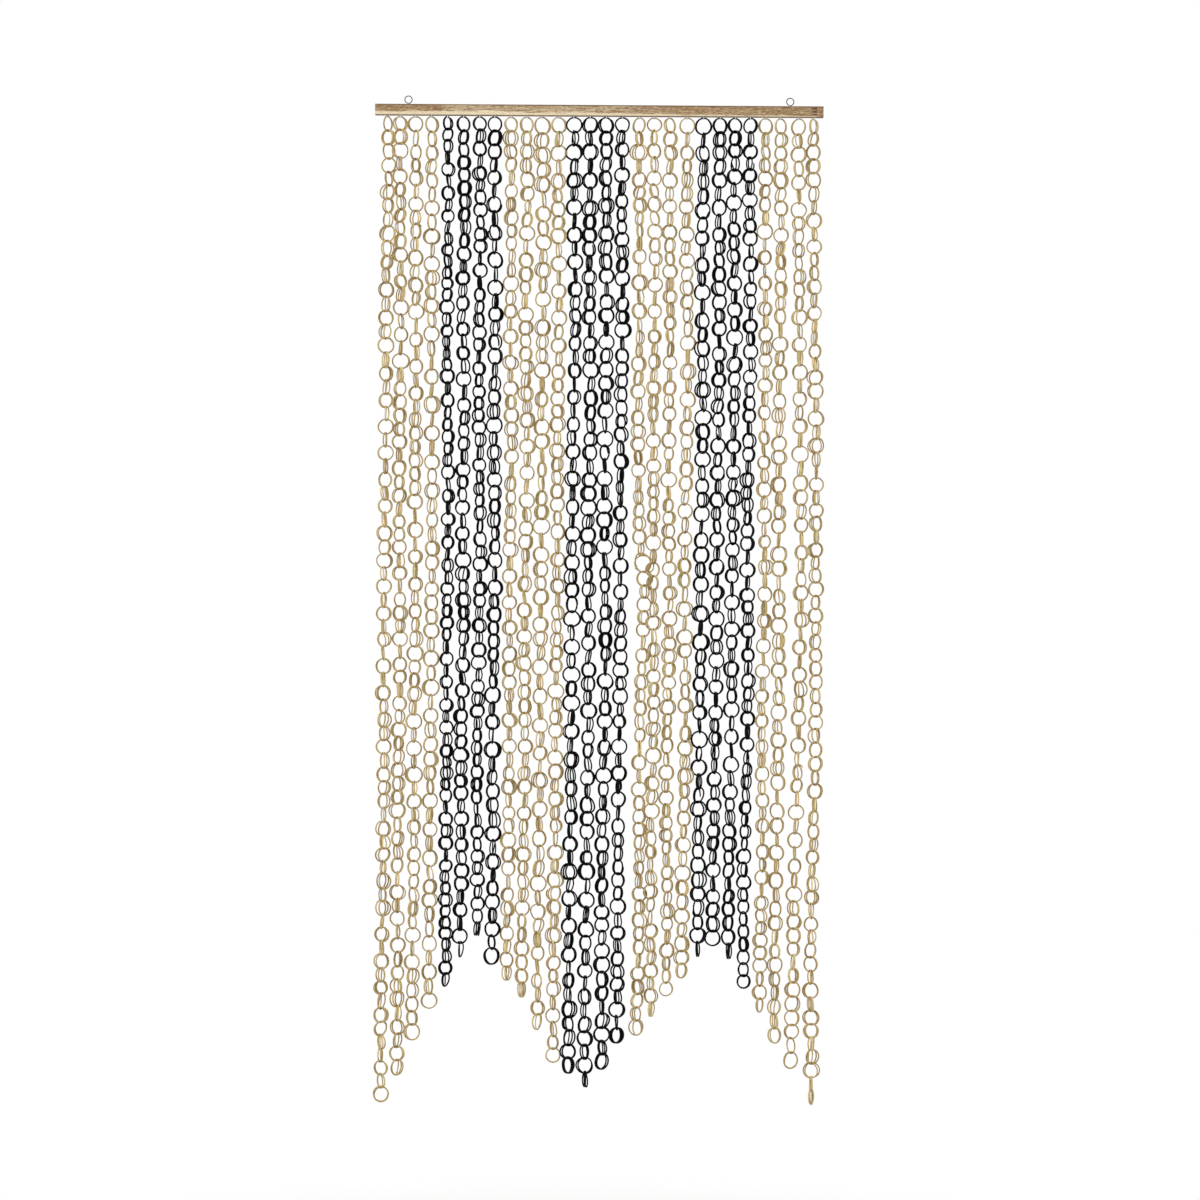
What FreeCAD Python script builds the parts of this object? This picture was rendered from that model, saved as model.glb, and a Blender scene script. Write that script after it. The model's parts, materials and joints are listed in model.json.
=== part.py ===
import FreeCAD, Part
import math
import os

# A hanging curtain of bamboo link chains under a wooden rail, in millimetres.
# X runs along the rail, Y from front to back, Z up. The origin is midway between the two hanging
# eyes, on the line through their centres, which is where hooks or nails carry the curtain.

# Rail
rail_length = 900.0
rail_height = 22.0
rail_depth = 14.0
rail_edge_bevel = 1.2

# Finger joint near the rail's right end
block_length = 13.5
finger_length = 10.0
finger_pitch = 6.2
finger_tip = 1.6
finger_count = 3

# Screw eyes
eye_outer_diameter = 16.5
eye_wire = 1.9
eye_neck = 1.2
eye_inset = 66.5
eye_shank_length = 12.0
pilot_clearance = 0.05
pilot_spare_depth = 0.5

# Staples that carry the strands
staple_wire_width = 1.8
staple_wire_height = 0.9
staple_span = 6.0
staple_drop = 5.0
staple_leg_depth = 6.0

# Chain links
link_width = 29.5
link_pitch = 27.1
link_wire_radius = 1.0
closed_link_thickness = 5.0
seat_gap = 0.3
link_shoulder_share = 0.48

# Strands, from left to right
strand_end_margin = 19.8
curtain_drop = 1983.0
# Each strand's drop, as a share of the longest
drop_share = [
    1.000, 0.973, 0.937, 0.905, 0.883, 0.853, 0.831,
    0.860, 0.876, 0.893, 0.926, 0.959, 0.970, 0.984,
    0.966, 0.939, 0.931, 0.912, 0.891, 0.873, 0.851,
    0.840, 0.853, 0.883, 0.907, 0.938, 0.964, 1.000,
]
# Each strand's length of one link, as a share of the usual one
pitch_share = [
    1.00, 0.99, 1.01, 1.05, 0.86, 0.95, 0.90,
    1.01, 0.98, 1.00, 1.05, 1.00, 1.02, 1.01,
    1.00, 0.97, 0.99, 0.98, 0.96, 1.03, 1.04,
    0.99, 0.99, 0.94, 0.96, 1.03, 1.02, 0.99,
]
# How far each strand's staple and foot lie from their even place, as shares of the strand pitch
staple_place_share = [
    0.00, -0.03, -0.07, -0.06, -0.06, -0.05, -0.03,
    -0.08, -0.05, -0.06, -0.11, -0.05, -0.10, -0.06,
    -0.06, -0.04, 0.02, -0.03, -0.03, 0.05, 0.08,
    0.12, 0.07, 0.03, -0.01, -0.06, 0.05, 0.00,
]
foot_place_share = [
    0.10, 0.05, 0.04, 0.10, 0.08, 0.03, 0.06,
    0.02, 0.00, -0.05, -0.06, -0.08, -0.12, -0.07,
    -0.03, -0.08, 0.10, 0.05, 0.00, 0.02, -0.03,
    -0.07, -0.07, -0.08, -0.04, -0.09, -0.14, 0.15,
]

# Worked out from the sizes above
cut_overrun = rail_depth
strand_count = len(drop_share)
strand_pitch = (rail_length - 2 * strand_end_margin) / (strand_count - 1)
eye_radius = (eye_outer_diameter - eye_wire) / 2
rail_top = -(eye_outer_diameter / 2 + eye_neck)
rail_bottom = rail_top - rail_height
rail_end = rail_length / 2
eye_reach = rail_end - eye_inset
crown_top = rail_bottom - staple_drop + staple_wire_height
swing_height = crown_top + seat_gap + link_wire_radius
crown_hang = rail_bottom - swing_height
# A wire of three sides: its flat side faces out of the link
wire_flat = link_wire_radius * math.cos(math.pi / 3)
wire_half_width = link_wire_radius * math.sin(math.pi / 3)


def vector(x, y, z):
    return FreeCAD.Vector(x, y, z)


def solid_of(points, faces):
    # A closed solid of flat faces, each given by the numbers of its corners
    made = []
    for corners in faces:
        loop = [points[i] for i in corners]
        made.append(Part.Face(Part.makePolygon(loop + loop[:1])))
    return Part.Solid(Part.makeShell(made))


def prism(outline, along):
    # An outline of corner points, drawn out along a vector
    return Part.Face(Part.makePolygon(outline + outline[:1])).extrude(along)


def centred_box(width, depth, low, high, x=0, y=0):
    return Part.makeBox(width, depth, high - low, vector(x - width / 2, y - depth / 2, low))


# The rail: one bar with eased long edges, drilled for the eyes and slotted for the staples,
# then parted at the finger joint.

def rail_bar():
    bar = centred_box(rail_length, rail_depth, rail_bottom, rail_top)
    long_edges = [e for e in bar.Edges if e.Length > rail_length - rail_depth]
    return bar.makeChamfer(rail_edge_bevel, long_edges)


def block_outline():
    # The end block seen from the front, with its fingers pointing into the rail
    root = rail_end - block_length
    tip = root - finger_length
    finger_root = finger_pitch - finger_tip
    middle = (rail_top + rail_bottom) / 2
    outline = [vector(root, -cut_overrun, rail_bottom - cut_overrun)]
    for k in range(finger_count):
        height = middle + (k - (finger_count - 1) / 2) * finger_pitch
        outline.append(vector(root, -cut_overrun, height - finger_root / 2))
        outline.append(vector(tip, -cut_overrun, height - finger_tip / 2))
        outline.append(vector(tip, -cut_overrun, height + finger_tip / 2))
        outline.append(vector(root, -cut_overrun, height + finger_root / 2))
    outline.append(vector(root, -cut_overrun, rail_top + cut_overrun))
    outline.append(vector(rail_end + cut_overrun, -cut_overrun, rail_top + cut_overrun))
    outline.append(vector(rail_end + cut_overrun, -cut_overrun, rail_bottom - cut_overrun))
    return outline


def rail_pieces(staples):
    holes = [pilot_hole(side * eye_reach) for side in (-1, 1)]
    bar = rail_bar().cut(Part.makeCompound(holes + staples))
    block_space = prism(block_outline(), vector(0, 2 * cut_overrun, 0))
    return bar.cut(block_space), bar.common(block_space)


# The screw eyes: a ring of wire on a short neck, with its shank in the rail

def pilot_hole(x):
    radius = eye_wire / 2 + pilot_clearance
    depth = eye_shank_length + pilot_spare_depth
    return Part.makeCylinder(radius, depth + cut_overrun, vector(x, 0, rail_top - depth))


def eye_ring(x):
    # The inner side is a short round wall, which a hook or nail bears on
    size = eye_outer_diameter / 2
    low = vector(x, -eye_wire / 2, 0)
    outside = Part.makeCylinder(size, eye_wire, low, vector(0, 1, 0))
    return outside.cut(Part.makeCylinder(size - eye_wire, eye_wire, low, vector(0, 1, 0)))


def screw_eye(x):
    low = rail_top - eye_shank_length
    shank = Part.makeCylinder(eye_wire / 2, -eye_radius - low, vector(x, 0, low))
    return eye_ring(x).fuse(shank)


# The staples: flat wire bent square, open to left and right, so that a link faces the front

def staple(x):
    inner = staple_span / 2
    outer = inner + staple_wire_height
    crown = rail_bottom - staple_drop
    tips = rail_bottom + staple_leg_depth
    left = x - staple_wire_width / 2
    outline = [
        vector(left, -outer, tips),
        vector(left, -outer, crown),
        vector(left, outer, crown),
        vector(left, outer, tips),
        vector(left, inner, tips),
        vector(left, inner, crown_top),
        vector(left, -inner, crown_top),
        vector(left, -inner, tips),
    ]
    return prism(outline, vector(staple_wire_width, 0, 0))


# The links. Each stands at right angles to the one above. The two at the head of a strand are
# open: the first hangs on the staple and the second hangs in the first. Those below are closed
# lozenges of the same width and pitch.

def turned(solid, number):
    # Every second link is edge-on to the front
    if number % 2:
        solid.rotate(vector(0, 0, 0), vector(0, 0, 1), 90)
    return solid


def open_link(pitch):
    height = pitch / 2 + seat_gap / 2 + link_wire_radius
    width = link_width / 2 * height / (height + wire_flat)
    shoulder = width * link_shoulder_share
    path = [
        (width, 0),
        (shoulder, height),
        (-shoulder, height),
        (-width, 0),
        (-shoulder, -height),
        (shoulder, -height),
    ]
    inner = 1 - link_wire_radius / height
    outer = 1 + wire_flat / height
    points = []
    for x, z in path:
        points.append(vector(inner * x, 0, inner * z))
        points.append(vector(outer * x, wire_half_width, outer * z))
        points.append(vector(outer * x, -wire_half_width, outer * z))
    faces = []
    for k in range(len(path)):
        here = 3 * k
        after = 3 * ((k + 1) % len(path))
        for side in range(3):
            other = (side + 1) % 3
            faces.append((here + side, here + other, after + other, after + side))
    return solid_of(points, faces)


def closed_link(above, below):
    # A lozenge that reaches from its widest point by one length up and another down
    half = link_width / 2
    thick = closed_link_thickness / 2
    points = [
        vector(0, 0, above),
        vector(half, 0, 0),
        vector(0, thick, 0),
        vector(-half, 0, 0),
        vector(0, -thick, 0),
        vector(0, 0, -below),
    ]
    faces = [(0, 1, 2), (0, 2, 3), (0, 3, 4), (0, 4, 1), (5, 2, 1), (5, 3, 2), (5, 4, 3), (5, 1, 4)]
    return solid_of(points, faces)


def strand_links(number):
    # The head's two open links, and the closed links that hang below them
    drop = curtain_drop * drop_share[number]
    ends = crown_hang + 2 * link_wire_radius + seat_gap + wire_flat
    count = round((drop - ends) / (link_pitch * pitch_share[number]))
    pitch = (drop - ends) / count
    reach = pitch / 2 + seat_gap / 2 + link_wire_radius
    link_half_height = reach + wire_flat
    tip = pitch / 2 - seat_gap / 2
    head_tip = pitch - link_half_height - seat_gap
    start = strand_x(number, staple_place_share)
    drift = strand_x(number, foot_place_share) - start
    head = []
    chain = []
    for k in range(count):
        if k < 2:
            link = open_link(pitch)
        else:
            above = head_tip if k == 2 else tip
            below = link_half_height if k == count - 1 else tip
            link = closed_link(above, below)
        link = turned(link, k)
        shift = max(k - 1, 0) / (count - 2) * drift
        link.translate(vector(start + shift, 0, swing_height - reach - k * pitch))
        (head if k < 2 else chain).append(link)
    return head, chain


def strand_x(number, place_share):
    even = number - (strand_count - 1) / 2
    return (even + place_share[number]) * strand_pitch


def save(name, solids):
    shape = solids[0] if len(solids) == 1 else Part.makeCompound(solids)
    shape.exportStep("parts/" + name + ".step")


def main():
    os.makedirs("parts", exist_ok=True)
    staples = [staple(strand_x(i, staple_place_share)) for i in range(strand_count)]
    rail, block = rail_pieces(staples)
    save("rail", rail.Solids)
    save("rail_end_block", block.Solids)
    save("screw_eyes", [screw_eye(side * eye_reach) for side in (-1, 1)])
    save("staples", staples)
    total = 0
    for number in range(strand_count):
        head, chain = strand_links(number)
        label = "%02d" % (number + 1)
        save("head_links_" + label, head)
        save("strand_" + label, chain)
        total += len(head) + len(chain)
    print("links in all:", total)
    print("swing axis height:", round(swing_height, 3), "rail underside:", round(rail_bottom, 3))


main()
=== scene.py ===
import json
import math

import bpy
import numpy as np
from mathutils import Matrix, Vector


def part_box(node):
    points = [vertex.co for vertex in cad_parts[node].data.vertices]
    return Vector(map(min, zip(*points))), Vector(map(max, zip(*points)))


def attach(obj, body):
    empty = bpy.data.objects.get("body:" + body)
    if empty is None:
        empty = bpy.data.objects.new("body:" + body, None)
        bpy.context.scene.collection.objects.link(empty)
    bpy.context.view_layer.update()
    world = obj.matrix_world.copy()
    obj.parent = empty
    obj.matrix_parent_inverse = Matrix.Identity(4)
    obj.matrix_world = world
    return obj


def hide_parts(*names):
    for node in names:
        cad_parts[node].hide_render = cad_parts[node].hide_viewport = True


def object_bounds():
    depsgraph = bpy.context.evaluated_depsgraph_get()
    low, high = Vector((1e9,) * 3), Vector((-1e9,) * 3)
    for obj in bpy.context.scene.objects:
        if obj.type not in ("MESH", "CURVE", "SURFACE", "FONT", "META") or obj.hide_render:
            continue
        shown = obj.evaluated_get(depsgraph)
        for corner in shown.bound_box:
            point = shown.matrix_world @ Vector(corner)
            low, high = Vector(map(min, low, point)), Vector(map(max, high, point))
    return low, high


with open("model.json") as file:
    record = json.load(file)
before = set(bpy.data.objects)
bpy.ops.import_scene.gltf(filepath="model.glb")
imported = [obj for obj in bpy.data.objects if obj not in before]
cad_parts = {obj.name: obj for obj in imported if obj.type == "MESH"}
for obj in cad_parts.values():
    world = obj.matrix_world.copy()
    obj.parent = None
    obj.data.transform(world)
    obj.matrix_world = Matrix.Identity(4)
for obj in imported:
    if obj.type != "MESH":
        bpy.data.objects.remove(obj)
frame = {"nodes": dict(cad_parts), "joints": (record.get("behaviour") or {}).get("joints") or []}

# A hanging curtain of wound bamboo links. Lengths are in metres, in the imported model's frame:
# X along the rail, Y from front to back, Z up, with the origin midway between the two eyes.

cad_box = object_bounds()
mm = 0.001
seed = 20240

# Camera: square on to the curtain, level with its middle. The frame's width is that of the view at
# the curtain
camera_distance = 6.0
camera_x = 7.3 * mm
camera_z = -1002.9 * mm
camera_roll = math.radians(-0.35)
frame_width = 2410.8 * mm
sensor_width = 36.0

# Lamps: name, place, the point that it shines at, width and power in watts
lamps = [
    ("key", (-2.6, -4.2, 1.6), (0.0, 0.0, -0.9), 2.2, 88),
    ("fill", (3.2, -3.8, -0.4), (0.0, 0.0, -1.0), 2.6, 27),
    ("back", (0.6, 3.6, 1.8), (0.0, 0.0, -0.8), 2.4, 60),
]
# The light that comes from all round
world_strength = 0.56

# How looks are written. A band is a low and a high value, and the result at each of them where it
# isn't 0 and 1. A tint is a band for how strongly a colour shows, and the colour. The tones of a ramp
# are places and colours. A grain is how often a noise repeats along and across it, a shift that sets
# it apart from others, its detail and, where it isn't the usual one, its roughness. A cloud or spots
# are a noise's scale and detail. A relief is a height and a strength
usual_noise_rough = 0.55

# Floor. Seen straight it is white far off, and shows its shadows near the curtain
floor_drop = 600 * mm
floor_size = 40.0
floor_colour = "F0EEEA"
floor_cloud = (1.5, 2.0)
floor_tint = (0.3, 0.7, 0.0, 0.04, "D8D6D0")
floor_rough = 0.9
floor_fade = (1.2, 2.4, 0.3, 1.0)

# Natural cane. The pith shows on the strip's inner side
cane_fibre = (60, 5.0, 0.0, 3.0)
cane_mottle = (45, 1.0, 31.7, 2.0)
cane_pale = (28, 1.0, 77.1, 1.0)
cane_tones = [
    (0.0, "8E7448"), (0.15, "CFB478"), (0.4, "EED492"),
    (0.62, "FCE8AE"), (0.85, "D0C586"), (1.0, "F6CF98"),
]
pith_colour = "E0C782"
pith_share = 0.35
cane_streak_tint = (0.56, 0.70, 0.0, 0.8, "785C38")
cane_mottle_tint = (0.48, 0.60, 0.0, 0.8, "8E6E3A")
cane_pale_tint = (0.49, 0.60, 0.0, 0.75, "F8E1A4")
# Painted shade along the strip's edges, where the turns lie side by side
cane_edge_shade_tint = (0.62, 0.88, 0.0, 0.75, "947844")
# The cane's joints: how many to a metre, and a dark ring at each
knots_per_metre = 9.0
knot_tint = (0.0, 0.014, 0.75, 0.0, "785A36")
cane_rough = (0.3, 0.7, 0.42, 0.62)
# The noises of two links lie up to this far apart
cane_link_shift = 7.3

# Cane stained black
black_fibre = (50, 5.0, 0.0, 3.0)
black_tones = [(0.0, "040404"), (0.6, "060606"), (1.0, "0C0B0C")]
black_streak_tint = (0.5, 0.72, 0.0, 0.7, "121114")
worn_edge = (0.8, 1.0)
worn_fibre = (0.45, 0.6, 0.0, 0.5)
worn_colour = "1C1A18"
black_rough = (0.3, 0.7, 0.34, 0.55)
black_specular = 0.06
black_link_shift = 5.9

strip_relief = (0.12 * mm, 0.7)

# Wood of the rail, with values of its own for the bar and for the end block. Its grains change from
# the front to the back as well
wood_grain = (40, 520, 0.0, 4.0, 0.7)
wood_pores = (120, 520, 5.7, 2.0)
wood_cloud = (7, 70, 0.0, 2.0)
wood_depth_change = 90
rail_look = {
    "tones": [(0.25, "A9865A"), (0.45, "BC9E74"), (0.6, "C8AC80"), (0.8, "D3BA90")],
    "dark": "7E5A34",
    "sap_share": 0.9,
    "shift": 0.0,
}
block_look = {
    "tones": [(0.25, "9C7446"), (0.5, "AE8552"), (0.75, "BE9660")],
    "dark": "7C573B",
    "sap_share": 0.25,
    "shift": 11.0,
}
dark_grain = (0.47, 0.60, 0.0, 0.85)
dark_pores = (0.50, 0.62, 0.0, 0.7)
pale_grain_tint = (0.44, 0.32, 0.0, 0.7, "DCC6A0")
pale_pores_tint = (0.46, 0.34, 0.0, 0.6, "DCC6A0")
# By the place along the rail: paler in its left half than in its right half, and a browner length
# of wood at the left end
left_half_tint = (30 * mm, 200 * mm, 0.6, 0.0, "DCCAA6")
right_half_tint = (50 * mm, 200 * mm, 0.0, 0.5, "9A7C52")
brown_end_x = -316 * mm
brown_end_tint = (brown_end_x - mm, brown_end_x + mm, 0.7, 0.0, "946A30")
# Sapwood along the foot of the front face. Its upper edge, as a share of the rail's height, is high
# at the left and low at the right, and uneven by so much of the cloud and of the grain
sap_edge = (-420 * mm, 420 * mm, 0.36, 0.12)
sap_cloud_share = 0.35
sap_grain_share = 0.5
sap_softness = 0.06
sap_colour = "F4E5C4"
sap_pores_tint = (0.46, 0.62, 0.0, 0.5, "D9BF8C")
# By the share of the rail's height: darker along the top, more or less so by the cloud, and a thin
# line of painted shade along the foot
top_rim = (0.84, 0.93, 0.0)
top_rim_share = (0.4, 0.6, 0.95, 0.7)
foot_painted_shade = (0.0, 0.06, 0.9, 0.0)
dark_top_and_shade_colour = "6C4C2C"
wood_rough = (0.3, 0.7, 0.45, 0.65)
wood_relief = (0.15 * mm, 0.6)
# Dark end grain on the fingers of the end block
finger_length = 10 * mm
finger_softness = 0.6 * mm
finger_share = 0.95
finger_colour = "4C2C0C"

# Steel
steel_spots = (900.0, 3.0)
steel_cloud = (180.0, 2.0)
steel_relief = (0.02 * mm, 0.5)
staple_tones = [(0.3, "BDBDBD"), (0.7, "DADADA")]
staple_rough = (0.3, 0.7, 0.25, 0.45)
eye_tones = [(0.3, "181A1E"), (0.7, "303438")]
eye_rough = (0.3, 0.7, 0.25, 0.42)

# The two kinds of cane: a strip's width along the link's axis and its thickness, the share of links
# that are loose, and how many times the strip goes round, with the share of links that have it. A
# loose link's turns lie beside each other and show as two or three rings
natural_cane = {
    "strip": (2.75 * mm, 2.6 * mm),
    "loose_share": 0.42,
    "tight_turns": [(2.0, 0.3), (2.5, 0.35), (3.0, 0.35)],
    "loose_turns": [(1.5, 0.1), (2.0, 0.5), (2.5, 0.4)],
}
black_cane = {
    "strip": (2.85 * mm, 3.15 * mm),
    "loose_share": 0.45,
    "tight_turns": [(2.0, 0.15), (2.5, 0.45), (3.0, 0.4)],
    "loose_turns": [(1.8, 0.2), (2.0, 0.45), (2.5, 0.35)],
}
# Section of a strip as shares of its half width and half thickness, the skin side first
section_shares = [(0.62, 1.0), (-0.62, 1.0), (-1.0, 0.0), (-0.62, -0.9), (0.62, -0.9), (1.0, 0.0)]
steps_per_turn = 20
# How thin a strip's two ends are, as a share of its thickness
end_taper_share = 0.45

# How the turns of a link lie. A scatter is the usual size of a random part. Angles are in radians,
# apart from the last two. The strip goes round by up to turns_reach more or less
turns_reach = 0.07
start_scatter = 0.3
# How far each turn is slid along the link's breadth, and how much that narrows the link per metre
loose_slide = (1.7 * mm, 4.1 * mm)
tight_slide_scatter = 0.5 * mm
narrowing = 16.0
breadth_share = 0.985
breadth_scatter = 0.035
# From one turn to the next along the axis, as a share of the strip's width
loose_spacing_share = (1.15, 1.85)
tight_spacing_share = (0.95, 1.35)
# How much closer the turns lie at the top and the foot, and how far each is turned from the last
pinch_share = (0.15, 0.42)
fan_scatter = 0.16
fan_limit = 0.38
# How much each turn is wider than the last, and lumps that go round the link so many times
growth_scatter = 0.035
lump_waves = (2, 3)
lump_scatter = 0.018
height_swell_share = 0.25
# A strip's ends are tucked in over this share of a turn, by the spacing beyond this share
tuck_length_share = 0.3
tuck_spacing_share = 0.8
# How far a link leans forward or back, and tips to the side, in degrees
lean_scatter = 3.0
tip_scatter = 4.5

# A flat map has a row for each link, with this share of the row left free at its foot and its top,
# and the caps of the strip at the row's ends
row_margin_share = 0.08
cap_inset = 0.004
cap_reach = 0.002
cap_height_share = 0.3

# Strands. A link hangs in the one above with this much room between them, as its strip is too wide to
# reach the foot of a round one, and the head link hangs closer over its staple's wire
link_clearance = 0.4 * mm
staple_wire = 0.9 * mm
head_clearance = 0.1 * mm
size_scatter = 0.045
# A strand is turned by this much, in degrees, and sways about that, and a link by so much more
strand_turn = (5, 45)
turn_sway = 55
turn_sway_links = 6
link_twist = 15
# The head link's ends stop this far short of its top, where the staple holds it, and its turns fan
# out less than others
head_gap = math.radians(32)
head_fan = 0.10
# How far each head link is turned from facing the front, in degrees
head_yaw = [
    56, 38, 12, 50, 57, 38, 30, 8, 32, 38, 34, 30, 6, -8,
    28, 8, -30, 6, 50, 10, -12, 12, 32, -28, 10, 36, -32, 57,
]
# The same for each lowest link, where 90 is edge-on. One turned beyond edge_on has its turns apart
foot_yaw = [
    0, 52, 20, 5, 62, 90, 88, 15, 66, 70, 65, 5, 52, 90,
    45, 40, 25, 85, 5, 48, 85, 12, 88, 10, 55, 35, 15, 70,
]
edge_on = 80
foot_spacing_share = 1.5
# The head's and the foot's own turns fade over about this many links
hold_links = 3.0

# All strands bow a little to the right, and wander, with bends about so many links apart, but hang
# calm near the rail
bow = 2.5 * mm
side_sway = 2.0 * mm
side_sway_links = 11
deep_sway = 3.5 * mm
deep_sway_links = 13
calm_depth = 150 * mm
# A wandering line is a sum of waves, each so many bends long and so high
wander_waves = 3
wander_lengths = (1.4, 3.2)
wander_heights = (0.3, 0.5)
# Strands that hang out of line, and where: depth share, spread share, shift to the right
stray = {
    1: [(0.06, 0.10, 7 * mm), (0.20, 0.12, 2 * mm)],
    11: [(0.18, 0.15, 3 * mm)],
    13: [(0.18, 0.15, 3 * mm)],
    27: [(0.52, 0.32, 11 * mm)],
    28: [(0.48, 0.26, 7 * mm)],
}
# One strand has a link caught inside the next, which is drawn up round it and sets the chain below
# to the right. The caught link has a share of that shift, and the drawn one is short of a share.
# The shift fades towards the foot
caught_strand = 17
caught_depth_share = 0.462
caught_size_shares = (0.86, 1.26)
caught_shift = 11.5 * mm
caught_shift_share = 0.2
drawn_shift_share = 0.3
caught_fade_share = 0.40
# The caught link stands almost edge-on and slanting
caught_form = {
    "turns": 2.5,
    "spacing": 1.2 * natural_cane["strip"][0],
    "slide": 0.0,
    "yaw": math.radians(64),
    "tip": math.radians(-16),
}
# The one drawn up round it is wide and slanting, with its turns apart
drawn_form = {
    "turns": 2.0,
    "start": math.radians(200),
    "breadth": 1.0,
    "spacing": 2.6 * natural_cane["strip"][0],
    "slide": 7 * mm,
    "fan": -0.3,
    "yaw": math.radians(14),
    "tip": math.radians(24),
    "lean": math.radians(-16),
}

# Screw eyes. The ring's two ends are this far round from its lowest point. Shares of the shank's
# length are from its point up, and those of width and height are of the wire's
wire_sides = 12
shank_steps = 90
ring_steps = 64
ring_start = math.radians(14)
ring_end = math.radians(8.4)
point_length_share = 0.22
point_width_share = 0.12
core_width_share = 0.95
thread_length_share = 0.8
thread_height_share = 0.10
thread_turns = 12

# The solids of a strand: two open links at the head, and below them closed ones of eight faces each
open_links = 2
closed_link_faces = 8

# The strands change between natural and black after every few
same_colour_strands = 4
strand_count = len(head_yaw)
black_strands = [n for n in range(1, strand_count + 1) if (n - 1) // same_colour_strands % 2]


# Camera and lamps

def make_camera():
    data = bpy.data.cameras.new("camera")
    data.sensor_width = sensor_width
    data.lens = sensor_width * camera_distance / frame_width
    camera = bpy.data.objects.new("camera", data)
    bpy.context.scene.collection.objects.link(camera)
    camera.location = (camera_x, -camera_distance, camera_z)
    camera.rotation_euler = (math.pi / 2, camera_roll, 0)
    bpy.context.scene.camera = camera


def make_lamp(name, place, target, size, power):
    data = bpy.data.lights.new(name, "AREA")
    data.shape = "SQUARE"
    data.size = size
    data.energy = power
    lamp = bpy.data.objects.new(name, data)
    bpy.context.scene.collection.objects.link(lamp)
    lamp.location = place
    lamp.rotation_euler = (Vector(target) - Vector(place)).to_track_quat("-Z", "Y").to_euler()


# Small helpers for node materials

def colour(code):
    # A colour as it looks on a screen, turned into the linear value that shaders use
    def linear(share):
        return share / 12.92 if share <= 0.04045 else ((share + 0.055) / 1.055) ** 2.4
    return [linear(int(code[i:i + 2], 16) / 255) for i in (0, 2, 4)] + [1.0]


def put(tree, socket, value):
    if isinstance(value, bpy.types.NodeSocket):
        tree.links.new(value, socket)
    else:
        socket.default_value = value


def add_node(tree, kind, settings=(), **values):
    made = tree.nodes.new(kind)
    for name, value in dict(settings).items():
        setattr(made, name, value)
    for name, value in values.items():
        put(tree, made.inputs[name], value)
    return made


def calc(tree, operation, *values):
    made = add_node(tree, "ShaderNodeMath", {"operation": operation})
    for i, value in enumerate(values):
        put(tree, made.inputs[i], value)
    return made.outputs[0]


def spread(tree, value, low, high, new_low=0.0, new_high=1.0):
    made = add_node(tree, "ShaderNodeMapRange", {"interpolation_type": "SMOOTHSTEP"})
    for i, item in enumerate((value, low, high, new_low, new_high)):
        put(tree, made.inputs[i], item)
    return made.outputs[0]


def blend(tree, share, first, second):
    # The node's inputs 6 and 7 and its output 2 are colours
    made = add_node(tree, "ShaderNodeMix", {"data_type": "RGBA"})
    for i, value in ((0, share), (6, first), (7, second)):
        put(tree, made.inputs[i], value)
    return made.outputs[2]


def tint(tree, look, value, low, high, low_share, high_share, code):
    # Lays a colour over a look, more or less strongly as the value runs from low to high
    return blend(tree, spread(tree, value, low, high, low_share, high_share), look, colour(code))


def ramp(tree, share, tones):
    made = add_node(tree, "ShaderNodeValToRGB", Fac=share)
    band = made.color_ramp
    while len(band.elements) < len(tones):
        band.elements.new(1.0)
    for element, (place, code) in zip(band.elements, tones):
        element.position = place
        element.color = colour(code)
    return made.outputs[0]


def noise(tree, place, scale, detail, rough=usual_noise_rough):
    return add_node(tree, "ShaderNodeTexNoise", Vector=place, Scale=scale, Detail=detail,
                    Roughness=rough).outputs[0]


def grain_noise(tree, places, along, across, shift, detail, rough=usual_noise_rough):
    x, y, z = places
    place = add_node(tree, "ShaderNodeCombineXYZ", X=calc(tree, "MULTIPLY", x, along),
                     Y=calc(tree, "MULTIPLY", y, across), Z=calc(tree, "ADD", z, shift))
    return noise(tree, place.outputs[0], 1.0, detail, rough)


def split(tree, vector):
    return add_node(tree, "ShaderNodeSeparateXYZ", Vector=vector).outputs[:3]


def object_place(tree):
    return add_node(tree, "ShaderNodeTexCoord").outputs["Object"]


def new_material(name):
    material = bpy.data.materials.new(name)
    material.use_nodes = True
    tree = material.node_tree
    return material, tree, tree.nodes["Principled BSDF"]


def finish(tree, shader, look, rough, height, relief):
    distance, strength = relief
    bump = add_node(tree, "ShaderNodeBump", Height=height, Distance=distance, Strength=strength)
    tree.links.new(look, shader.inputs["Base Color"])
    tree.links.new(rough, shader.inputs["Roughness"])
    tree.links.new(bump.outputs[0], shader.inputs["Normal"])


# Materials

def strip_places(tree, link_shift):
    # A place for noises: metres along the strip, the share across it from its middle line, and a
    # shift that sets each link apart. Then the link's own number, and 1 on the skin side
    strip = add_node(tree, "ShaderNodeAttribute", {"attribute_name": "strip"}).outputs["Vector"]
    along, across, link = split(tree, strip)
    skin = add_node(tree, "ShaderNodeAttribute", {"attribute_name": "skin"}).outputs["Fac"]
    return (along, across, calc(tree, "MULTIPLY", link, link_shift)), link, skin


def link_tone(tree, link, tones):
    # Each link has a tone of its own
    chance = add_node(tree, "ShaderNodeTexWhiteNoise", {"noise_dimensions": "1D"}, W=link)
    return ramp(tree, chance.outputs[0], tones)


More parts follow.
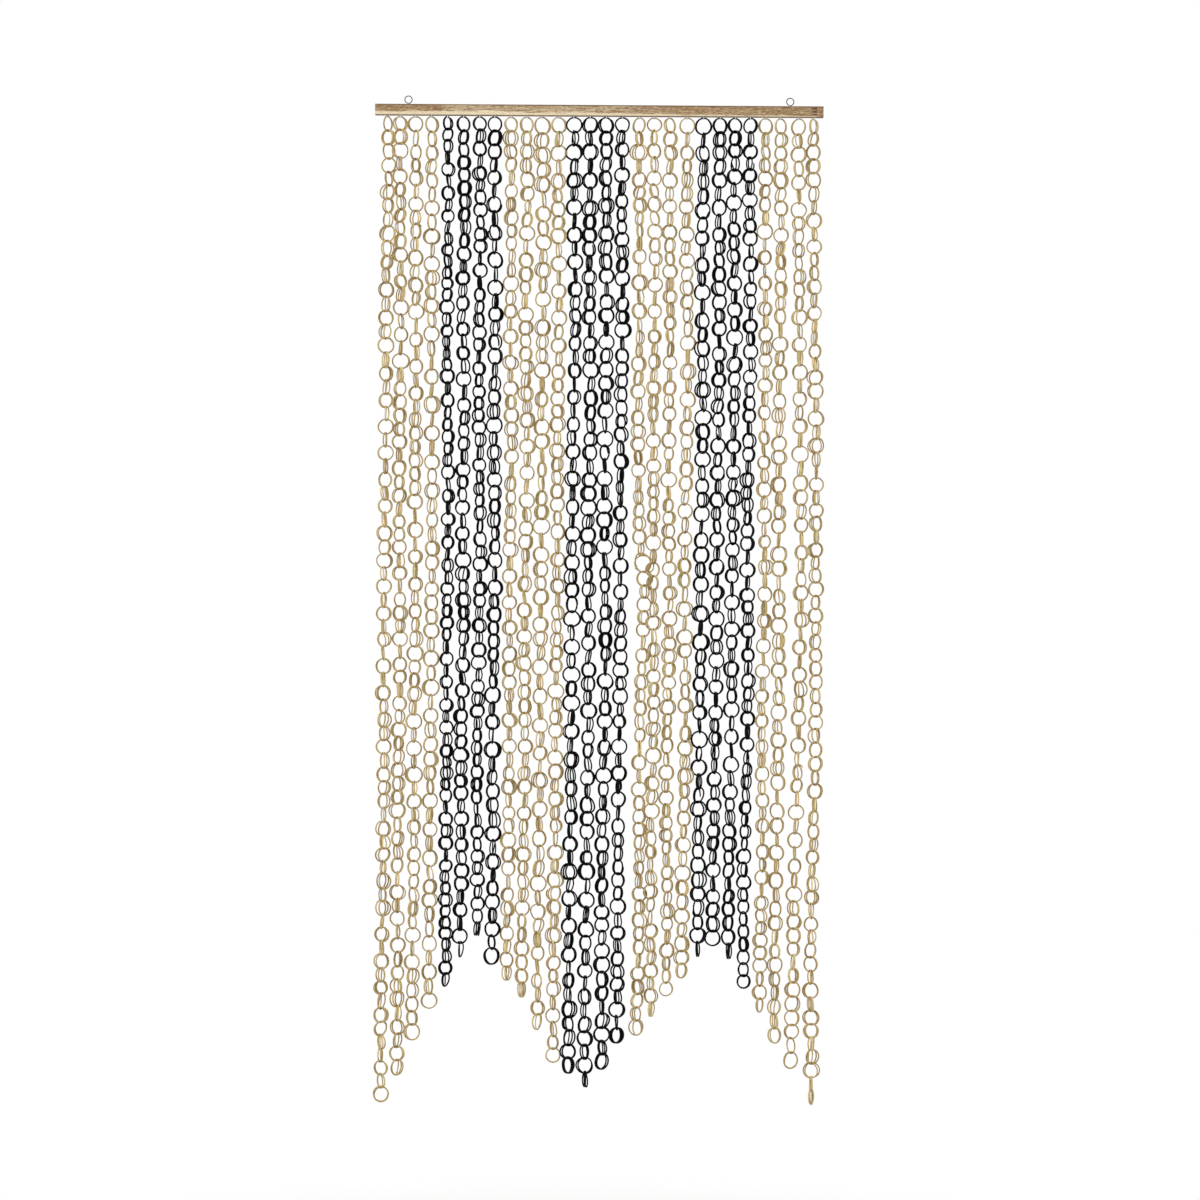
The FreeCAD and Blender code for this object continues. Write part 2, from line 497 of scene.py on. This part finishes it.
def natural_bamboo():
    material, tree, shader = new_material("natural_bamboo_strip")
    places, link, skin = strip_places(tree, cane_link_shift)
    along, across, far = places
    fibre = grain_noise(tree, places, *cane_fibre)
    pith = calc(tree, "MULTIPLY", calc(tree, "SUBTRACT", 1.0, skin), pith_share)
    look = blend(tree, pith, link_tone(tree, link, cane_tones), colour(pith_colour))
    look = tint(tree, look, fibre, *cane_streak_tint)
    look = tint(tree, look, grain_noise(tree, places, *cane_mottle), *cane_mottle_tint)
    look = tint(tree, look, grain_noise(tree, places, *cane_pale), *cane_pale_tint)
    # Painted shade along the strip's edges, between turns that lie side by side
    look = tint(tree, look, calc(tree, "ABSOLUTE", across), *cane_edge_shade_tint)
    # A darker ring where the cane had a joint
    knots = calc(tree, "ADD", calc(tree, "MULTIPLY", along, knots_per_metre), far)
    from_knot = calc(tree, "SUBTRACT", calc(tree, "FRACT", knots), 0.5)
    look = tint(tree, look, calc(tree, "ABSOLUTE", from_knot), *knot_tint)
    finish(tree, shader, look, spread(tree, fibre, *cane_rough), fibre, strip_relief)
    return material


def black_bamboo():
    material, tree, shader = new_material("black_stained_bamboo_strip")
    places, link, skin = strip_places(tree, black_link_shift)
    fibre = grain_noise(tree, places, *black_fibre)
    look = tint(tree, link_tone(tree, link, black_tones), fibre, *black_streak_tint)
    # The stain is worn along the strip's edges
    edge = spread(tree, calc(tree, "ABSOLUTE", places[1]), *worn_edge)
    worn = calc(tree, "MULTIPLY", edge, spread(tree, fibre, *worn_fibre))
    look = blend(tree, worn, look, colour(worn_colour))
    shader.inputs["Specular IOR Level"].default_value = black_specular
    finish(tree, shader, look, spread(tree, fibre, *black_rough), fibre, strip_relief)
    return material


def sapwood(tree, wood, x, height, cloud, grain, pores, share):
    # The pale wood along the foot, up to an uneven edge
    from_cloud = calc(tree, "MULTIPLY", calc(tree, "SUBTRACT", cloud, 0.5), sap_cloud_share)
    from_grain = calc(tree, "MULTIPLY", calc(tree, "SUBTRACT", grain, 0.5), sap_grain_share)
    uneven = calc(tree, "ADD", height, calc(tree, "ADD", from_cloud, from_grain))
    rise = calc(tree, "SUBTRACT", uneven, spread(tree, x, *sap_edge))
    pale = tint(tree, colour(sap_colour), pores, *sap_pores_tint)
    return blend(tree, spread(tree, rise, -sap_softness, sap_softness, share, 0.0), wood, pale)


def rail_wood(name, look_values, end_tints=()):
    material, tree, shader = new_material(name)
    x, y, z = split(tree, object_place(tree))
    low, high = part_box("rail")
    height = calc(tree, "DIVIDE", calc(tree, "SUBTRACT", z, low.z), high.z - low.z)
    shift = calc(tree, "ADD", calc(tree, "MULTIPLY", y, wood_depth_change), look_values["shift"])
    grain = grain_noise(tree, (x, z, shift), *wood_grain)
    pores = grain_noise(tree, (x, z, shift), *wood_pores)
    cloud = grain_noise(tree, (x, z, shift), *wood_cloud)
    look = ramp(tree, cloud, look_values["tones"])
    for place_tint in (left_half_tint, right_half_tint, brown_end_tint):
        look = tint(tree, look, x, *place_tint)
    look = tint(tree, look, grain, *dark_grain, look_values["dark"])
    look = tint(tree, look, grain, *pale_grain_tint)
    look = tint(tree, look, pores, *dark_pores, look_values["dark"])
    look = tint(tree, look, pores, *pale_pores_tint)
    look = sapwood(tree, look, x, height, cloud, grain, pores, look_values["sap_share"])
    top_dark = spread(tree, height, *top_rim, spread(tree, cloud, *top_rim_share))
    # Darker along the top, and painted shade along the foot, in one colour
    rim = calc(tree, "MAXIMUM", top_dark, spread(tree, height, *foot_painted_shade))
    look = blend(tree, rim, look, colour(dark_top_and_shade_colour))
    for end_tint in end_tints:
        look = tint(tree, look, x, *end_tint)
    relief = calc(tree, "ADD", grain, pores)
    finish(tree, shader, look, spread(tree, grain, *wood_rough), relief, wood_relief)
    return material


def block_wood():
    # The fingers show their darker end grain
    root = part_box("rail_end_block")[0].x + finger_length
    fingers = (root - finger_softness, root + finger_softness, finger_share, 0.0, finger_colour)
    return rail_wood("rail_end_wood", block_look, [fingers])


def steel(name, tones, rough_band):
    material, tree, shader = new_material(name)
    place = object_place(tree)
    spots = noise(tree, place, *steel_spots)
    look = ramp(tree, noise(tree, place, *steel_cloud), tones)
    shader.inputs["Metallic"].default_value = 1.0
    finish(tree, shader, look, spread(tree, spots, *rough_band), spots, steel_relief)
    return material


# Floor and world

def floor_paint():
    material, tree, shader = new_material("floor_paint")
    place = object_place(tree)
    look = tint(tree, colour(floor_colour), noise(tree, place, *floor_cloud), *floor_tint)
    tree.links.new(look, shader.inputs["Base Color"])
    shader.inputs["Roughness"].default_value = floor_rough
    away = add_node(tree, "ShaderNodeVectorMath", {"operation": "LENGTH"}, Vector=place).outputs["Value"]
    seen = add_node(tree, "ShaderNodeLightPath").outputs["Is Camera Ray"]
    share = calc(tree, "MULTIPLY", seen, spread(tree, away, *floor_fade))
    glow = add_node(tree, "ShaderNodeEmission", Color=(1.0, 1.0, 1.0, 1.0))
    both = add_node(tree, "ShaderNodeMixShader", Fac=share)
    tree.links.new(shader.outputs[0], both.inputs[1])
    tree.links.new(glow.outputs[0], both.inputs[2])
    tree.links.new(both.outputs[0], tree.nodes["Material Output"].inputs["Surface"])
    return material


def make_floor():
    half = floor_size / 2
    corners = [(-half, -half, 0), (half, -half, 0), (half, half, 0), (-half, half, 0)]
    floor = mesh_object("floor", corners, [(0, 1, 2, 3)], floor_paint())
    floor.location.z = cad_box[0].z - floor_drop


def make_world():
    # White where it's seen, and weaker as a light
    world = bpy.data.worlds.new("studio")
    bpy.context.scene.world = world
    world.use_nodes = True
    tree = world.node_tree
    path = add_node(tree, "ShaderNodeLightPath")
    seen = calc(tree, "MAXIMUM", path.outputs["Is Camera Ray"], path.outputs["Is Glossy Ray"])
    seen = calc(tree, "MAXIMUM", seen, path.outputs["Is Transmission Ray"])
    back = tree.nodes["Background"]
    back.inputs["Color"].default_value = (1.0, 1.0, 1.0, 1.0)
    tree.links.new(spread(tree, seen, 0.0, 1.0, world_strength, 1.0), back.inputs["Strength"])


# Meshes

def mesh_object(name, points, faces, material):
    mesh = bpy.data.meshes.new(name)
    mesh.from_pydata(points, [], faces)
    mesh.materials.append(material)
    mesh.shade_smooth()
    made = bpy.data.objects.new(name, mesh)
    bpy.context.scene.collection.objects.link(made)
    return made


def tube_faces(first, count, sides):
    # The faces of a tube whose rings of corners are numbered from first on, and its two end caps
    ring = np.arange(sides)
    here = first + np.arange(count - 1)[:, None] * sides + ring
    beside = here - ring + (ring + 1) % sides
    quads = np.stack([here, beside, beside + sides, here + sides], 2).reshape(-1, 4)
    last = first + (count - 1) * sides
    return quads.tolist(), [(first + ring[::-1]).tolist(), (last + ring).tolist()]


def unit(rows):
    return rows / np.linalg.norm(rows, axis=1)[:, None]


def wander(rng, count, spacing):
    # A smooth random line between about -1 and 1, with bends about this many steps apart
    places = np.arange(count)
    line = np.zeros(count)
    for wave in range(wander_waves):
        length = spacing * rng.uniform(*wander_lengths)
        line += np.sin(2 * math.pi * (places / length + rng.random())) * rng.uniform(*wander_heights)
    return line.clip(-1, 1)


# Links

class Link:
    # One wound link: its strip, how its turns lie, and how it is turned

    def __init__(self, rng, cane):
        loose = rng.random() < cane["loose_share"]
        self.turns = pick(rng, cane["loose_turns" if loose else "tight_turns"])
        self.strip = cane["strip"]
        self.start = math.pi * rng.integers(2) + rng.normal(0, start_scatter)
        if loose:
            self.slide = float(rng.uniform(*loose_slide) * rng.choice((-1, 1)))
        else:
            self.slide = rng.normal(0, tight_slide_scatter)
        narrowed = abs(self.slide) * self.turns * narrowing
        self.breadth = rng.normal(breadth_share, breadth_scatter) - narrowed
        spacing_share = loose_spacing_share if loose else tight_spacing_share
        self.spacing = self.strip[0] * rng.uniform(*spacing_share)
        self.pinch = rng.uniform(*pinch_share)
        self.fan = float(np.clip(rng.normal(0, fan_scatter), -fan_limit, fan_limit))
        self.growth = rng.normal(0, growth_scatter)
        self.lumps = rng.normal(0, lump_scatter, len(lump_waves))
        self.lump_places = rng.uniform(0, 2 * math.pi, len(lump_waves))
        self.lean = math.radians(rng.normal(0, lean_scatter))
        self.tip = math.radians(rng.normal(0, tip_scatter))
        self.yaw = 0.0
        self.number = rng.random()

    def give(self, **values):
        # Puts given values in place of random ones
        for name, value in values.items():
            setattr(self, name, value)

    def path(self, middle, inner):
        # The strip's middle line, and the way outward at each of its points
        count = int(steps_per_turn * self.turns) + 1
        angle = self.start + np.linspace(0, 2 * math.pi * self.turns, count)
        turn = (angle - angle.mean()) / (2 * math.pi)
        tall = inner + self.strip[1] / 2
        swell = 1 + self.growth * turn
        for size, place, waves in zip(self.lumps, self.lump_places, lump_waves):
            swell = swell + size * np.sin(waves * angle + place)
        wide = tall * self.breadth * swell
        # The strip's two ends are tucked in towards the turn beside them
        near_end = np.clip(1 - (self.turns / 2 - np.abs(turn)) / tuck_length_share, 0, 1)
        tuck = max(self.spacing / self.strip[0] - tuck_spacing_share, 0.0)
        wound = turn - near_end ** 2 * np.sign(turn) * tuck
        out = wide * np.sin(angle) + self.slide * wound
        taller = 1 + (swell - 1) * height_swell_share * np.abs(np.sin(angle))
        up = tall * taller * np.cos(angle)
        beside = self.spacing * wound * (1 - self.pinch * np.cos(angle) ** 2)
        turned = self.yaw + self.fan * turn
        along = np.stack([np.cos(turned), np.sin(turned), 0 * turned], 1)
        axis = np.stack([-np.sin(turned), np.cos(turned), 0 * turned], 1)
        rise = np.array([0.0, 0.0, 1.0])
        line = along * out[:, None] + axis * beside[:, None] + rise * up[:, None]
        outward = along * (np.sin(angle) / wide)[:, None] + rise * (np.cos(angle) / tall)[:, None]
        return self.tilted(line) + middle, self.tilted(unit(outward))

    def tilted(self, rows):
        # Leans the link forward or back, and tips it about its own axis
        along = np.array([math.cos(self.yaw), math.sin(self.yaw), 0.0])
        axis = np.array([-math.sin(self.yaw), math.cos(self.yaw), 0.0])
        for pole, angle in ((along, self.lean), (axis, self.tip)):
            rows = (rows * math.cos(angle) + np.cross(pole, rows) * math.sin(angle)
                    + pole * (rows @ pole)[:, None] * (1 - math.cos(angle)))
        return rows


def pick(rng, choices):
    values, weights = zip(*choices)
    chosen = float(rng.choice(values, p=np.array(weights) / sum(weights)))
    return chosen + rng.uniform(-turns_reach, turns_reach)


def strip_rows(line, outward, strip):
    # Corner points round the strip at each step along the line. Its ends are thinner, and narrower
    # by half as much
    forward = unit(np.gradient(line, axis=0))
    across = unit(np.cross(outward, forward))
    outward = np.cross(forward, across)
    thin = np.ones(len(line))
    thin[0] = thin[-1] = end_taper_share
    half_width = strip[0] / 2 * (1 + thin) / 2
    half_thickness = strip[1] / 2 * thin
    rows = []
    for share_across, share_out in section_shares:
        rows.append(line + across * (share_across * half_width)[:, None]
                    + outward * (share_out * half_thickness)[:, None])
    return np.stack(rows, 1)


def flat_strip(share, row, rows):
    # Where the corners of a strip's faces lie on the flat map. The row is as long as the strip, and
    # as high as its girth
    sides = len(section_shares)
    u = np.stack([share[:-1], share[:-1], share[1:], share[1:]], 1)
    side = np.arange(sides)[:, None] + np.array([0, 1, 1, 0])
    v = (row + row_margin_share + (1 - 2 * row_margin_share) * side / sides) / rows
    u, v = np.broadcast_arrays(u[:, None, :], v[None, :, :])
    return np.stack([u, v], 3).reshape(-1, 2)


def flat_caps(row, rows):
    # The strip's two caps are small rings at the row's ends
    sides = len(section_shares)
    made = []
    for end in (0.0, 1.0):
        for k in range(sides):
            turn = 2 * math.pi * k / sides
            inset = cap_inset + cap_reach * math.cos(turn)
            made.append((abs(end - inset), (row + 0.5 + cap_height_share * math.sin(turn)) / rows))
    return made


def chain_mesh(name, links, middles, inners, material):
    # One mesh for all links of a strand, with the strips' places for the material
    sides = len(section_shares)
    across = [share for share, out in section_shares]
    skin = [max(out, 0.0) for share, out in section_shares]
    points, faces, caps, flats, cap_flats, places, skins = [], [], [], [], [], [], []
    first = 0
    for row, (link, middle, inner) in enumerate(zip(links, middles, inners)):
        line, outward = link.path(middle, inner)
        count = len(line)
        steps = np.linalg.norm(np.diff(line, axis=0), axis=1)
        lengths = np.concatenate([[0.0], np.cumsum(steps)])
        numbers = np.full(count * sides, link.number)
        points.append(strip_rows(line, outward, link.strip).reshape(-1, 3))
        places.append(np.stack([np.repeat(lengths, sides), np.tile(across, count), numbers], 1))
        skins.append(np.tile(skin, count))
        quads, ends = tube_faces(first, count, sides)
        faces += quads
        caps += ends
        flats.append(flat_strip(lengths / lengths[-1], row, len(links)))
        cap_flats += flat_caps(row, len(links))
        first += count * sides
    made = mesh_object(name, np.concatenate(points).tolist(), faces + caps, material)
    flat = np.concatenate(flats + [np.array(cap_flats)])
    layer = made.data.uv_layers.new(name="OFBake")
    layer.uv.foreach_set("vector", flat.astype(np.float32).ravel())
    add_attribute(made.data, "strip", "FLOAT_VECTOR", "vector", places)
    add_attribute(made.data, "skin", "FLOAT", "value", skins)
    return made


def add_attribute(mesh, name, kind, field, parts):
    made = mesh.attributes.new(name, kind, "POINT")
    made.data.foreach_set(field, np.concatenate(parts).astype(np.float32).ravel())


# Strands

def foot_of(node):
    # The lowest corner of the strand's solids
    vertices = frame["nodes"][node].data.vertices
    return min((v.co for v in vertices), key=lambda place: place.z).copy()


def link_count(node):
    return open_links + len(frame["nodes"][node].data.polygons) // closed_link_faces


def inner_heights(rng, count, drop, strip, caught):
    # Inner half heights, so that each link hangs in the last and the lowest ends at the foot
    uneven = 1 + rng.normal(0, size_scatter, count).clip(-2 * size_scatter, 2 * size_scatter)
    if caught < count:
        uneven[caught:caught + 2] = caught_size_shares
    return uneven * (drop - strip[1] + (count - 1) * link_clearance) / (2 * uneven.sum())


def link_middles(rng, number, inners, top, head, foot, caught):
    count = len(inners)
    steps = inners[:-1] + inners[1:] - link_clearance
    heights = top - inners[0] - np.concatenate([[0.0], np.cumsum(steps)])
    depth = (top - heights) / (top - foot.z)
    calm = np.clip((top - heights) / calm_depth, 0, 1) ** 2
    side = wander(rng, count, side_sway_links) * side_sway * calm + bow * np.sin(math.pi * depth)
    deep = wander(rng, count, deep_sway_links) * deep_sway * calm
    for at, reach, shift in stray.get(number, []):
        side = side + shift * np.exp(-((depth - at) / reach) ** 2)
    if caught < count:
        below = depth[caught + 1:]
        side[caught + 1:] += caught_shift * np.exp((caught_depth_share - below) / caught_fade_share)
        side[caught] += caught_shift * caught_shift_share
        side[caught + 1] -= caught_shift * drawn_shift_share
    x = head.x + (foot.x - head.x) * depth + side
    return np.stack([x, head.y + deep, heights], 1)


def link_yaws(rng, number, count):
    # Each link is a quarter turn from the last. The head link's turn and the lowest one's are given,
    # and fade into the strand's own
    own = math.radians(rng.uniform(*strand_turn))
    own = own + wander(rng, count, turn_sway_links) * math.radians(turn_sway)
    hold = np.exp(-np.arange(count) / hold_links)
    base = own * (1 - hold) + math.radians(head_yaw[number - 1]) * hold
    # The lowest link is turned to its place the shorter way round
    wanted = math.radians(foot_yaw[number - 1]) - (count - 1) * math.pi / 2
    turn = (wanted - base[-1] + math.pi / 2) % math.pi - math.pi / 2
    return base + turn * hold[::-1] + np.arange(count) * math.pi / 2


def make_links(rng, number, cane, yaws, caught):
    links = []
    for yaw in yaws:
        link = Link(rng, cane)
        link.give(yaw=yaw + math.radians(rng.normal(0, link_twist)))
        links.append(link)
    # Two turns with their ends short of the staple, so that one strip runs through it
    fan = head_fan * np.sign(links[0].fan)
    links[0].give(turns=2 - head_gap / math.pi, start=head_gap, fan=fan, lean=0.0, tip=0.0, yaw=yaws[0])
    links[-1].give(yaw=yaws[-1])
    if foot_yaw[number - 1] > edge_on:
        links[-1].give(spacing=foot_spacing_share * cane["strip"][0])
    if caught < len(links):
        links[caught].give(**caught_form)
        links[caught + 1].give(**drawn_form)
    return links


def make_strand(number, joint, material):
    label = "%02d" % number
    rng = np.random.default_rng(seed + number)
    black = number in black_strands
    cane = black_cane if black else natural_cane
    head = Vector(joint["pos_m"])
    foot = foot_of("strand_" + label)
    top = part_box("staples")[0].z + staple_wire + head_clearance
    count = link_count("strand_" + label)
    caught = round(caught_depth_share * count) if number == caught_strand else count
    inners = inner_heights(rng, count, top - foot.z, cane["strip"], caught)
    middles = link_middles(rng, number, inners, top, head, foot, caught)
    yaws = link_yaws(rng, number, count)
    links = make_links(rng, number, cane, yaws, caught)
    chain = chain_mesh("link_chain_" + label, links, middles, inners, material)
    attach(chain, "hanging_strand_" + label)
    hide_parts("head_links_" + label, "strand_" + label)


def make_strands():
    natural = natural_bamboo()
    black = black_bamboo()
    for joint in frame["joints"]:
        number = int(joint["child"][-2:])
        make_strand(number, joint, black if number in black_strands else natural)


# Screw eyes

def eye_line(x, foot, ring, wire):
    # Points along the middle of the wire, with its radius at each: up the threaded shank, then once
    # round the ring and back to the neck
    line = []
    radii = []
    shank_top = -(ring + wire / 2)
    for k in range(shank_steps + 1):
        share = k / shank_steps
        line.append((x, 0.0, foot + share * (shank_top - foot)))
        point = min(share / point_length_share, 1.0)
        thread = 0.0
        if share < thread_length_share:
            thread = thread_height_share * math.cos(2 * math.pi * share * thread_turns)
        cone = point_width_share + (1 - point_width_share) * point
        radii.append(wire / 2 * cone * (core_width_share + thread * point))
    sweep = 2 * math.pi - ring_start - ring_end
    for k in range(ring_steps + 1):
        angle = -math.pi / 2 + ring_start + k / ring_steps * sweep
        line.append((x + ring * math.cos(angle), 0.0, ring * math.sin(angle)))
        radii.append(wire / 2)
    return np.array(line), np.array(radii)


def wire_points(line, radii):
    # Corner points round a wire that lies in the XZ plane
    forward = unit(np.gradient(line, axis=0))
    back = np.array([0.0, 1.0, 0.0])
    across = np.cross(back, forward)
    turn = 2 * math.pi * np.arange(wire_sides) / wire_sides
    ring = np.cos(turn)[:, None] * across[:, None, :] + np.sin(turn)[:, None] * back
    return (line[:, None, :] + radii[:, None, None] * ring).reshape(-1, 3)


def make_eyes(material):
    low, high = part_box("screw_eyes")
    wire = high.y - low.y
    ring = high.z - wire / 2
    points, faces = [], []
    for x in (low.x + high.z, high.x - high.z):
        line, radii = eye_line(x, low.z, ring, wire)
        quads, caps = tube_faces(len(points), len(line), wire_sides)
        faces += quads + caps
        points += wire_points(line, radii).tolist()
    eyes = mesh_object("screw_eye_wires", points, faces, material)
    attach(eyes, "rail_body")
    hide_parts("screw_eyes")


def dress(node, material):
    slots = frame["nodes"][node].data.materials
    for i in range(len(slots)):
        slots[i] = material


make_camera()
bpy.context.scene.view_settings.view_transform = "Standard"
make_world()
make_floor()
for lamp in lamps:
    make_lamp(*lamp)

dress("rail", rail_wood("rail_wood", rail_look))
dress("rail_end_block", block_wood())
dress("staples", steel("staple_steel", staple_tones, staple_rough))
make_eyes(steel("zinc_plated_steel", eye_tones, eye_rough))
make_strands()
